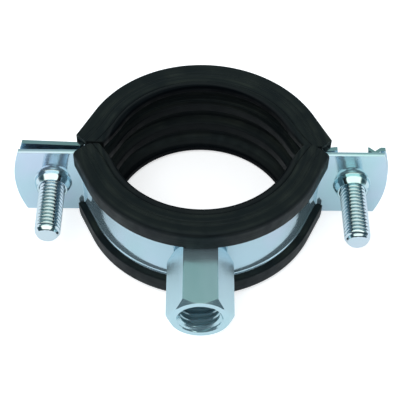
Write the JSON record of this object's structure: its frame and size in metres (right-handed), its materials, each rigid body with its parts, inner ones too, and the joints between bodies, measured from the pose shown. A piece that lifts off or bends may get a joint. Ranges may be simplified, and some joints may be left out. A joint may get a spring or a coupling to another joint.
{
  "type": "rubber lined pipe clamp",
  "caption": "Two-part steel pipe clamp with ribbed rubber lining, side screws and a threaded hexagon boss, for hanging a pipe from a threaded rod.",
  "frame": {"origin": "middle of the pipe bore, on the plane where the two halves part", "axes": "+Z along the pipe; -Y towards the hexagon boss; +X towards the slotted quick-release ears"},
  "size_m": [0.0881, 0.0663, 0.0246],
  "materials": {
    "zinc_strip": "satin",
    "zinc_boss": "satin",
    "zinc_screw": "satin",
    "lining_rubber": "matte"
  },
  "bodies": {
    "front_half": {"front_band": "zinc_strip", "front_lining": "lining_rubber", "hex_boss": "zinc_boss"},
    "rear_half": {"rear_band": "zinc_strip", "rear_lining": "lining_rubber"},
    "left_screw": {"left_screw": "zinc_screw"},
    "right_screw": {"right_screw": "zinc_screw"}
  },
  "joints": [
    {"name": "rear_half_swing", "type": "hinge", "parent": "front_half", "child": "rear_half", "pos_m": [-0.0349, 0, 0], "axis": [0, 1, 0], "range_deg": [-0.75, 120]},
    {"name": "left_screw_travel", "type": "slide", "parent": "front_half", "child": "left_screw", "axis": [0, 1, 0], "range_m": [-0.0007, 0.015]},
    {"name": "right_screw_travel", "type": "slide", "parent": "front_half", "child": "right_screw", "axis": [0, 1, 0], "range_m": [-0.0001, 0.015]}
  ]
}
